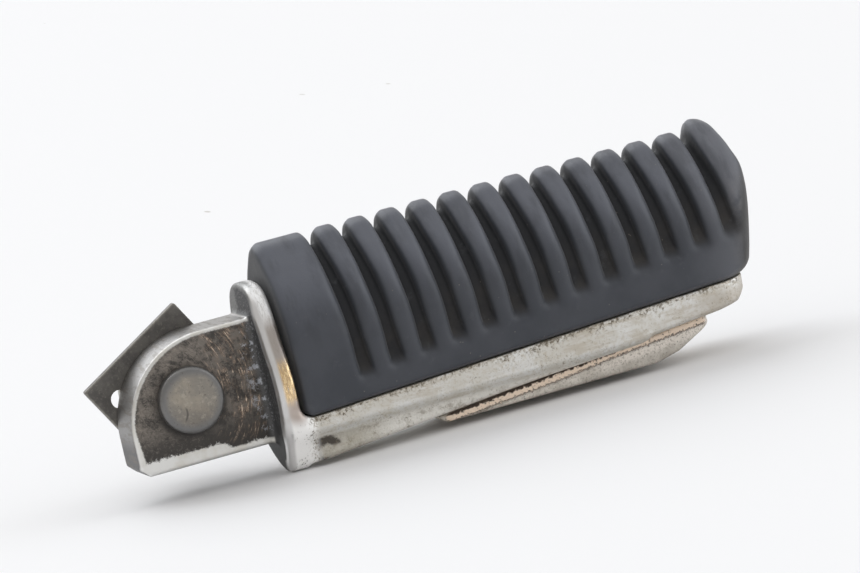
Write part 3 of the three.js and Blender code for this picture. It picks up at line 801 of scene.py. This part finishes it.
def pin_finish():
    """Dull turned steel with a scratch across the head, and painted shade on the head's lower part and on its
    rounded rim.
    """
    f = Finish("dull_pin_steel", (0.33, 0.295, 0.245), 0.42, 0.85)
    from_axis = f.from_pin_axis()
    grain = f.noise(1.4, 5, 0.65)
    cloud = f.noise(0.28, 4)
    head = f.step(f.y, -5, -6)
    f.coat(f.step(cloud, 0.38, 0.62), (0.265, 0.245, 0.215), 0.5)
    # painted shade: the head darker toward its bottom
    f.coat(f.times(f.step(f.z, 1, -6), head, 0.6), (0.165, 0.15, 0.135), 0.5)
    # painted shade on the head's rounded rim
    f.coat(f.times(f.step(from_axis, 4.4, 6.2), head, 0.85), (0.175, 0.176, 0.178), 0.42, 0.85)
    f.coat(f.times(f.step(grain, 0.54, 0.7), 0.55), (0.13, 0.115, 0.095), 0.6, 0.5)
    mottled = f.times(f.step(f.noise(0.9, 6, 0.8), 0.50, 0.66), f.step(from_axis, 6.0, 4.6), head)
    f.coat(f.times(mottled, 0.6), (0.42, 0.385, 0.325), 0.45, 0.8)
    speck = f.zone(f.step(f.cells(1.1), 0.10, 0.06), y=(-6, -8))
    f.coat(f.times(speck, 0.8), (0.06, 0.05, 0.04), 0.7, 0.1)
    scratch_centre = (-4.4, -9.1, -1.9)
    scratch_radius = 2.6
    scratch = f.size(f.less(f.vector("DISTANCE", f.place, scratch_centre), scratch_radius))
    scratch = f.zone(f.step(scratch, 0.30, 0.10), x=(-2.9, -2.2), z=(-0.8, -1.6), share=0.7)
    f.coat(scratch, (0.08, 0.072, 0.065), 0.6, 0.3, -0.04)
    f.emboss(grain, 0.03)
    f.emboss(cloud, 0.10)
    return f.done()


def plate_finish():
    """Dark oiled steel, rubbed along its edges."""
    f = Finish("dark_plate_steel", (0.165, 0.157, 0.145), 0.5, 0.7)
    bend = f.attribute("bend")
    cloud = f.noise(0.3, 4, 0.6)
    grain = f.noise(1.8, 5, 0.7)
    f.coat(f.step(cloud, 0.4, 0.62), (0.115, 0.109, 0.102), 0.6, 0.5)
    f.coat(f.times(f.step(grain, 0.52, 0.68), 0.6), (0.27, 0.252, 0.222), 0.5, 0.7)
    f.coat(f.times(f.step(bend, 0.6, 1.6), f.step(grain, 0.3, 0.55)), (0.25, 0.235, 0.21), 0.4, 0.9)
    f.emboss(grain, 0.05)
    return f.done()


def hardware_finish():
    """Dull zinc plating with a few rusty spots."""
    f = Finish("zinc_hardware", (0.56, 0.55, 0.51), 0.38, 0.95)
    grain = f.noise(1.5, 5, 0.65)
    f.coat(f.step(f.noise(0.35, 3), 0.4, 0.65), (0.47, 0.46, 0.42), 0.5)
    f.coat(f.times(f.step(grain, 0.60, 0.72), 0.7), (0.22, 0.13, 0.07), 0.75, 0.2)
    f.emboss(grain, 0.03)
    return f.done()


def bearing_finish():
    """Smooth oiled bearing steel."""
    f = Finish("bearing_steel", (0.60, 0.60, 0.59), 0.14, 1.0)
    f.coat(f.step(f.noise(0.9, 4), 0.5, 0.7), (0.46, 0.43, 0.38), 0.3)
    f.emboss(f.noise(3, 2), 0.004)
    return f.done()


# ---- Shapes ----

def tongue_outline():
    """The tongue seen along the pin, its upper inner corner an arc that clears the bracket."""
    centre_x = TONGUE_INNER + TONGUE_ARC
    centre_z = TONGUE_TOP - TONGUE_ARC
    arc = [
        (centre_x + TONGUE_ARC * math.cos(a), centre_z + TONGUE_ARC * math.sin(a))
        for a in np.linspace(math.pi / 2, math.pi, 24)
    ]
    return [
        (TONGUE_INNER, TONGUE_BOTTOM + TONGUE_CHAMFER), (TONGUE_INNER + TONGUE_CHAMFER, TONGUE_BOTTOM),
        (FLANGE_INNER + OVERLAP, TONGUE_BOTTOM), (FLANGE_INNER + OVERLAP, TONGUE_TOP), *arc,
    ]


TONGUE_OUTLINE = tongue_outline()
FLANGE_OUTLINE = smooth_line([*FLANGE_POINTS, FLANGE_POINTS[0]])[:-1]


def rim_side(x, z):
    """The rim's floor, running into the sloping underside, and its outer end."""
    underside = np.maximum(TRAY_FLOOR, underside_at(x)) - z
    end = outline([
        (0, 30), (TRAY_OUTER + 0.1, 30), (TRAY_OUTER, -5), (TRAY_OUTER - 0.6, -8.2),
        (TRAY_OUTER - 3.6, -10.2), (TRAY_OUTER - 12, -11.5), (0, -40),
    ], x, z)
    return meet(underside, end)


def casting_field(x, y, z):
    """Tongue, flange, rim, the gusset under it and the web inside the rubber, cast in one."""
    tongue = meet(outline(TONGUE_OUTLINE, x, z), abs(y) - TONGUE_HALF, 0.6)
    flange_outer = FLANGE_OUTER + FLANGE_PAD * ease(z, -9.5, -12)
    flange = meet(outline(FLANGE_OUTLINE, y, z), slab(x, FLANGE_INNER, flange_outer), 1.1)
    plan = meet(rounded_end(x, y, TRAY_HALF, TRAY_OUTER, 8), FLANGE_INNER + OVERLAP - x)
    rim = meet(meet(rim_side(x, z), plan, 1.1), z - tread_edge_at(x) + 0.05, 0.12)
    gusset_side = meet(underside_at(x) - z, z - TRAY_FLOOR - 1)
    gusset_plan = meet(abs(y) - GUSSET_HALF, slab(x, FLANGE_INNER + OVERLAP, GUSSET_OUTER))
    behind_flange = outline(FLANGE_OUTLINE, y, z) - 0.15 * (x - FLANGE_OUTER)
    gusset = meet(meet(gusset_side, gusset_plan, 1.0), behind_flange, 0.8)
    core = box(
        x, y, z, (FLANGE_OUTER - OVERLAP, CORE_OUTER), (-CORE_HALF, CORE_HALF),
        (TRAY_FLOOR + OVERLAP, CORE_TOP), 0.8,
    )
    casting = join(join(flange, gusset, 0.6), rim, 3.2)
    casting = join(join(casting, tongue, 1.6), core, 0.2)
    pin_bore = np.hypot(x, z) - RUNNING_RADIUS
    ball_bore = meet(np.hypot(x - BALL_X, z - BALL_Z) - BALL_RADIUS - PLAY, BALL_BORE_FLOOR - y)
    casting = carve(carve(casting, meet(pin_bore, x - 12), 0.3), ball_bore, 0.2)
    return with_screw_holes(casting, x, y, 0.2)


def cast_peg():
    piece(
        "cast_peg", "peg", "peg_body", casting_finish(), casting_field,
        low=(TONGUE_INNER, -14.5, -20.5), high=(TRAY_OUTER, 14.5, 20.1), pitch=0.42,
        attributes={
            "tongue_inset": lambda x, y, z: -outline(TONGUE_OUTLINE, x, z),
            "flange_inset": lambda x, y, z: -outline(FLANGE_OUTLINE, y, z),
            "below_rubber": lambda x, y, z: tread_edge_at(x) - z,
        },
    )


def arch_outline(crest):
    """The tread's cross-section, its upper part raised to the given crest."""
    lift = crest / TREAD_CREST
    half = [(y, z * lift if z > 0 else z) for y, z in TREAD_HALF_SECTION]
    return mirrored([*half, (12.9, -16)])


def tread_block(x, y, z):
    """The tread before its grooves are cut: the ribbed part and the higher lip."""
    ribbed = outline(arch_outline(TREAD_CREST), y, z)
    lip = outline(arch_outline(LIP_CREST), y, z)
    share = ease(x, LIP_START + 0.5, LIP_START + 2.1)
    return ribbed * (1 - share) + lip * share


def groove_field(x, z, surface):
    """The grooves: rounded slots that follow the tread's surface and run out above its lower edge."""
    along = x + GROOVE_LEAN * (z - GROOVE_LEAN_FROM) - FIRST_GROOVE
    which = np.clip(np.round(along / RIB_PITCH), 0, RIB_COUNT)
    aside = abs(along - which * RIB_PITCH)
    end = GROOVE_END_INNER + which * RIB_PITCH * GROOVE_END_SLOPE
    depth = GROOVE_DEPTH * ease(z, end - 1.0, end + 4.5) ** 0.6
    spread = 0.25 * ease(z, 24, 12) + 0.25 * ease(z, end + 9, end)
    width = GROOVE_WIDTH / 2 + spread + 0.10 * (surface + depth)
    return meet(meet(aside - width, -(surface + depth), 0.7), end - z, 0.9)


def tread_hollow(x, y, z):
    """The space for the casting's web, the steel insert and its nuts."""
    web = box(
        x, y, z, (0, CORE_OUTER + GAP), (-CORE_HALF - GAP, CORE_HALF + GAP), (-40, CORE_TOP + GAP)
    )
    strip = box(
        x, y, z, (INSERT_INNER - GAP, INSERT_OUTER + GAP), (-INSERT_HALF - GAP, INSERT_HALF + GAP),
        (CORE_TOP, INSERT_TOP + GAP),
    )
    hollow = join(web, strip)
    for place in SCREW_PLACES.values():
        around_nut = np.hypot(x - place, y) - NUT_ACROSS_CORNERS / 2 - GAP
        hollow = join(hollow, meet(around_nut, slab(z, CORE_TOP, SCREW_TIP + GAP)))
    return hollow


# How far the tread's outer end stands out or back at each height.
TREAD_END = np.array(smooth_line([
    (-3.9, -12), (-2.6, -3), (-1.75, 0.8), (-0.8, 5.6), (-0.1, 10), (0.2, 14), (-0.1, 18), (-1.4, 21.5),
    (-2.4, 25), (-3.3, 27.4), (-4.9, 29.2), (-8.5, 31.5),
]))


def tread_field(x, y, z):
    """The rubber: its block, cut by the grooves and by the space for what it holds."""
    surface = tread_block(x, y, z)
    back = np.interp(z, TREAD_END[:, 1], TREAD_END[:, 0])
    steepness = np.interp(z, (24, 31), (1.0, 1.6))  # keeps distances true where the end slopes back
    end = rounded_end(x - back, y, TREAD_HALF, TREAD_OUTER, TREAD_CORNER) / steepness
    edge = tread_edge_at(x) - z
    inner = TREAD_INNER - 0.008 * (z - TREAD_EDGE_INNER) - x
    block = meet(meet(surface, end, 1.6), inner, 1.9)
    block = meet(block, meet(meet(end, edge, 3.4), meet(inner, edge, 2.6)), 0.15)
    rib_rounding = 1.5 + 0.7 * ease(z, 25, 14)
    block = carve(block, groove_field(x, z, surface), rib_rounding)
    return carve(block, tread_hollow(x, y, z))


def rubber_tread():
    piece(
        "rubber_tread", "peg", "tread_rubber", rubber_finish(), tread_field,
        low=(TREAD_INNER, -TREAD_HALF, -10), high=(TREAD_OUTER, TREAD_HALF, LIP_CREST), pitch=0.48,
        attributes={"depth": lambda x, y, z: -tread_block(x, y, z)},
    )


def bar_top(x):
    return underside_at(x) - GAP


def bar_field(x, y, z):
    """A wedge that fills out the sloping underside, countersunk for the tread's screws."""
    side = outline([
        (BAR_INNER, bar_top(BAR_INNER) - 0.7), (BAR_INNER + 1.6, BAR_FLOOR), (BAR_OUTER - 14, BAR_FLOOR),
        (BAR_OUTER - 8.5, BAR_FLOOR + 1.3), (BAR_OUTER, bar_top(BAR_OUTER) - 1.8),
        (BAR_OUTER - 0.6, bar_top(BAR_OUTER - 0.6)), (BAR_INNER, bar_top(BAR_INNER)),
    ], x, z)
    middle = (BAR_INNER + BAR_OUTER) / 2
    plan = rounded_end(abs(x - middle), y, BAR_HALF, BAR_OUTER - middle, 3)
    bar = meet(side, plan, 0.5)
    cone = SCREW_HEAD_RADIUS + 0.8 - (z - SCREW_FACE)
    countersink = np.clip(cone, SCREW_HOLE_RADIUS, SCREW_HEAD_RADIUS + PLAY)
    for place in SCREW_PLACES.values():
        bar = carve(bar, np.hypot(x - place, y) - countersink, 0.1)
    return bar


def underside_bar():
    piece(
        "flaking_bar_piece", "peg", "underside_bar", bar_finish(), bar_field,
        low=(BAR_INNER, -BAR_HALF, BAR_FLOOR), high=(BAR_OUTER, BAR_HALF, -11), pitch=0.36,
        attributes={"below_top": lambda x, y, z: bar_top(x) - z},
    )


def pin_field(x, y, z):
    """The joint pin: a slightly crowned head, a shank and the split pin's hole through its end."""
    radius = np.hypot(x, z)
    seat = -TONGUE_HALF - GAP
    face = seat - PIN_HEAD_HEIGHT + PIN_HEAD_CROWN * (radius / PIN_HEAD_RADIUS) ** 2 - y
    head = meet(meet(radius - PIN_HEAD_RADIUS, face, 1.0), y - seat, 0.2)
    shank = meet(meet(radius - PIN_RADIUS, y - PIN_END, 0.9), seat - 1 - y)
    pin = join(head, shank, 0.2)
    return carve(pin, np.hypot(x, y - SPLIT_PIN_Y) - SPLIT_PIN_RADIUS - GAP, 0.25)


def joint_pin():
    piece(
        "headed_pin", "hinge_pin", "pivot_pin", pin_finish(), pin_field,
        low=(-7.2, -9.5, -7.2), high=(7.2, PIN_END, 7.2), pitch=0.22,
    )


def washer_field(x, y, z):
    radius = np.hypot(x, z)
    disc = meet(radius - WASHER_RADIUS, slab(y, WASHER_Y, WASHER_Y + WASHER_THICKNESS), 0.25)
    return carve(disc, radius - RUNNING_RADIUS, 0.15)


def split_pin_field(x, y, z):
    """A doubled wire: an eye above the joint pin, a slit stem through it and two bent legs."""
    y = y - SPLIT_PIN_Y
    stem_top = PIN_RADIUS + 1.2
    stem_end = -PIN_RADIUS - 0.6
    slit_half = 0.09
    eye_radius = 2.1
    eye_wire = 0.7
    leg_wire = 0.55
    stem = meet(np.hypot(x, y) - SPLIT_PIN_RADIUS, slab(z, stem_end, stem_top), 0.3)
    stem = carve(stem, meet(abs(x) - slit_half, z - stem_top + 0.6), 0.05)
    eye = np.hypot(np.hypot(x, z - stem_top - 1.8) - eye_radius, y) - eye_wire
    whole = join(stem, eye, 0.5)
    for side in (-1, 1):
        leg = smooth_line([
            (0.45 * side, 0, stem_end + 1.5), (0.5 * side, 0, stem_end), (1.9 * side, 0, stem_end - 1.6),
            (4.5 * side, 0, stem_end - 2.1),
        ], 5)
        whole = join(whole, strand(leg, leg_wire, x, y, z), 0.2)
    return whole


def pin_retainers(material):
    piece(
        "plain_washer", "hinge_pin", "pin_washer", material, washer_field,
        low=(-8, WASHER_Y, -8), high=(8, WASHER_Y + WASHER_THICKNESS, 8), pitch=0.2,
    )
    piece(
        "bent_split_pin", "hinge_pin", "split_pin", material, split_pin_field,
        low=(-5, SPLIT_PIN_Y - 1, -7.5), high=(5, SPLIT_PIN_Y + 1, 9.9), pitch=0.14,
    )


def plate_field(x, y, z):
    """A square-cornered plate with the joint pin's bore and one small hole for the ball."""
    along = x * math.cos(PLATE_TURN) + z * math.sin(PLATE_TURN)
    across = x * math.sin(PLATE_TURN) - z * math.cos(PLATE_TURN)
    blank = meet(abs(along) - PLATE_HALF, slab(across, -PLATE_LONG, PLATE_SHORT), 0.5)
    plate = meet(blank, slab(y, PLATE_NEAR, PLATE_NEAR + PLATE_THICKNESS), 0.22)
    plate = carve(plate, np.hypot(x, z) - RUNNING_RADIUS, 0.15)
    hole_x = DETENT_RADIUS * math.cos(PLATE_HOLE_ANGLE)
    hole_z = DETENT_RADIUS * math.sin(PLATE_HOLE_ANGLE)
    return carve(plate, np.hypot(x - hole_x, z - hole_z) - DETENT_HOLE_RADIUS, 0.2)


def detent_plate():
    piece(
        "square_detent_plate", "detent_plate", "detent_plate", plate_finish(), plate_field,
        low=(-18.8, PLATE_NEAR, -15.2), high=(16.5, PLATE_NEAR + PLATE_THICKNESS, 18.8), pitch=0.24,
    )


def screw_field(place):
    """A countersunk screw standing on its head, with a hexagon socket and a 1 mm thread."""
    def field(x, y, z):
        radius = np.hypot(x - place, y)
        above = z - SCREW_FACE
        cone = SCREW_HEAD_RADIUS + 0.3 - above * (SCREW_HEAD_RADIUS - SCREW_RADIUS) / SCREW_HEAD_HEIGHT
        head = meet(radius - np.minimum(cone, SCREW_HEAD_RADIUS), above - SCREW_HEAD_HEIGHT - 0.5)
        thread = THREAD_DEPTH * np.sin(2 * math.pi * z) * ease(z, 0, 1)
        shank = meet(radius - SCREW_RADIUS + THREAD_DEPTH - thread, z - SCREW_TIP, 0.6)
        screw = meet(join(head, shank), -above, 0.15)
        socket = meet(hexagon(x - place, y, SCREW_SOCKET_ACROSS), above - SCREW_SOCKET_DEPTH)
        return carve(screw, socket, 0.1)
    return field


def nut_field(place):
    """A six-sided nut with its corners turned down."""
    def field(x, y, z):
        radius = np.hypot(x - place, y)
        flats = hexagon(x - place, y, NUT_ACROSS_CORNERS * math.cos(math.pi / 6))
        nut = meet(meet(flats, radius - NUT_ACROSS_CORNERS / 2 + 0.1, 0.2), slab(z, NUT_BOTTOM, NUT_TOP), 0.4)
        return carve(nut, radius - SCREW_HOLE_RADIUS, 0.3)
    return field


def strip_field(x, y, z):
    strip = box(
        x, y, z, (INSERT_INNER, INSERT_OUTER), (-INSERT_HALF, INSERT_HALF), (CORE_TOP + GAP, INSERT_TOP), 0.25
    )
    return with_screw_holes(strip, x, y, 0.15)


def tread_fastening(material):
    piece(
        "insert_strip", "peg", "tread_insert_plate", material, strip_field,
        low=(INSERT_INNER, -INSERT_HALF, CORE_TOP), high=(INSERT_OUTER, INSERT_HALF, INSERT_TOP), pitch=0.4,
    )
    for key, place in SCREW_PLACES.items():
        piece(
            f"nut_{key}", "peg", f"weld_nut_{key}", material, nut_field(place),
            low=(place - 6, -6, NUT_BOTTOM), high=(place + 6, 6, NUT_TOP), pitch=0.3,
        )
        piece(
            f"screw_{key}", "peg", f"tread_screw_{key}", material, screw_field(place),
            low=(place - 5.7, -5.7, SCREW_FACE), high=(place + 5.7, 5.7, SCREW_TIP), pitch=0.22,
        )


def detent_ball(material):
    centre_y = TONGUE_HALF - BALL_RADIUS
    centre = (BALL_X, centre_y, BALL_Z)
    piece(
        "bearing_ball", "detent_ball", "detent_ball", material,
        lambda x, y, z: np.sqrt((x - BALL_X) ** 2 + (y - centre_y) ** 2 + (z - BALL_Z) ** 2) - BALL_RADIUS,
        low=[value - BALL_RADIUS for value in centre],
        high=[value + BALL_RADIUS for value in centre], pitch=0.2,
    )


def detent_spring(material):
    """A coil between the bore's floor and the ball."""
    line = []
    for angle in np.linspace(0, 2 * math.pi * SPRING_TURNS, SPRING_TURNS * 20 + 1):
        y = SPRING_FIRST + (SPRING_LAST - SPRING_FIRST) * angle / (2 * math.pi * SPRING_TURNS)
        line.append((BALL_X + SPRING_COIL * math.cos(angle), y, BALL_Z + SPRING_COIL * math.sin(angle)))
    reach = 2.3
    start = SPRING_FIRST - SPRING_WIRE
    spring = piece(
        "coil_spring", "peg", "detent_spring", material,
        lambda x, y, z: strand(line, SPRING_WIRE, x, y, z),
        low=(BALL_X - reach, start, BALL_Z - reach),
        high=(BALL_X + reach, SPRING_LAST + SPRING_WIRE, BALL_Z + reach), pitch=0.12,
    )
    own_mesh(spring)


# ---- Camera, floor and light ----

def aim(obj, place, target, roll=0.0):
    """Puts an object at a place, looking at a target, turned by roll about its line of sight."""
    back = (Vector(place) - Vector(target)).normalized()
    right = Vector((0, 0, 1)).cross(back).normalized()
    up = back.cross(right)
    turned_right = right * math.cos(roll) - up * math.sin(roll)
    turned_up = right * math.sin(roll) + up * math.cos(roll)
    basis = Matrix((turned_right, turned_up, back)).transposed()
    obj.matrix_world = Matrix.Translation(Vector(place)) @ basis.to_4x4()
    return turned_right, turned_up


def make_camera():
    azimuth = math.radians(-17.21)
    elevation = math.radians(8.165)
    roll = math.radians(12.75)
    distance = 1.04586
    up_shift = 0.00785
    left_shift = 0.00349
    back = Vector((
        math.sin(azimuth) * math.cos(elevation), -math.cos(azimuth) * math.cos(elevation), math.sin(elevation)
    ))
    target = Vector((0.060, 0, 0))
    data = bpy.data.cameras.new("camera")
    data.sensor_width = 36
    data.lens = 206.4
    data.clip_start = 0.05
    data.clip_end = 50
    camera = add_object("camera", data)
    right, up = aim(camera, target + back * distance, target, roll)
    camera.location += up * up_shift - right * left_shift
    bpy.context.scene.camera = camera


def make_floor():
    """A pale level floor with a few crumbs, just under the peg."""
    half = 8.0
    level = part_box("peg_body")[0].z - 0.05 * MM
    corners = [(-half, -half, level), (half, -half, level), (half, half, level), (-half, half, level)]
    mesh = bpy.data.meshes.new("floor")
    mesh.from_pydata(corners, [], [(0, 1, 2, 3)])
    f = Finish("pale_floor", (0.875, 0.875, 0.88), 0.6, 0.0)
    crumbs = f.step(f.cells(0.035, f.stretched((1, 0.2, 1))), 0.030, 0.018)
    crumbs = f.times(crumbs, f.step(f.noise(0.02, 2), 0.44, 0.50))
    f.coat(f.times(crumbs, 0.55), (0.36, 0.31, 0.26))
    mesh.materials.append(f.done(Specular_IOR_Level=0.1))
    add_object("floor", mesh)


def make_lights():
    """An even pale room with three very soft lamps: behind, above and past the outer end."""
    world = bpy.data.worlds.new("studio")
    bpy.context.scene.world = world
    world.use_nodes = True
    background = world.node_tree.nodes["Background"]
    background.inputs["Color"].default_value = (1.0, 0.98, 0.96, 1)
    background.inputs["Strength"].default_value = 0.62
    lamps = {
        "window": ((-0.25, 0.75, 0.75), 1.45),
        "ceiling": ((0.15, -0.15, 1.0), 0.32),
        "wall": ((1.0, -0.35, 0.35), 0.75),
    }
    for name, (place, energy) in lamps.items():
        data = bpy.data.lights.new(name, "SUN")
        data.angle = math.radians(60)
        data.energy = energy
        data.color = (0.95, 0.985, 1.03)
        aim(add_object(name, data), place, (0, 0, 0))


def main():
    make_camera()
    make_floor()
    make_lights()
    cast_peg()
    rubber_tread()
    underside_bar()
    joint_pin()
    detent_plate()
    hardware = hardware_finish()
    pin_retainers(hardware)
    tread_fastening(hardware)
    bearing = bearing_finish()
    detent_ball(bearing)
    detent_spring(bearing)
    view = bpy.context.scene.view_settings
    view.view_transform = "Standard"
    view.look = "None"


main()
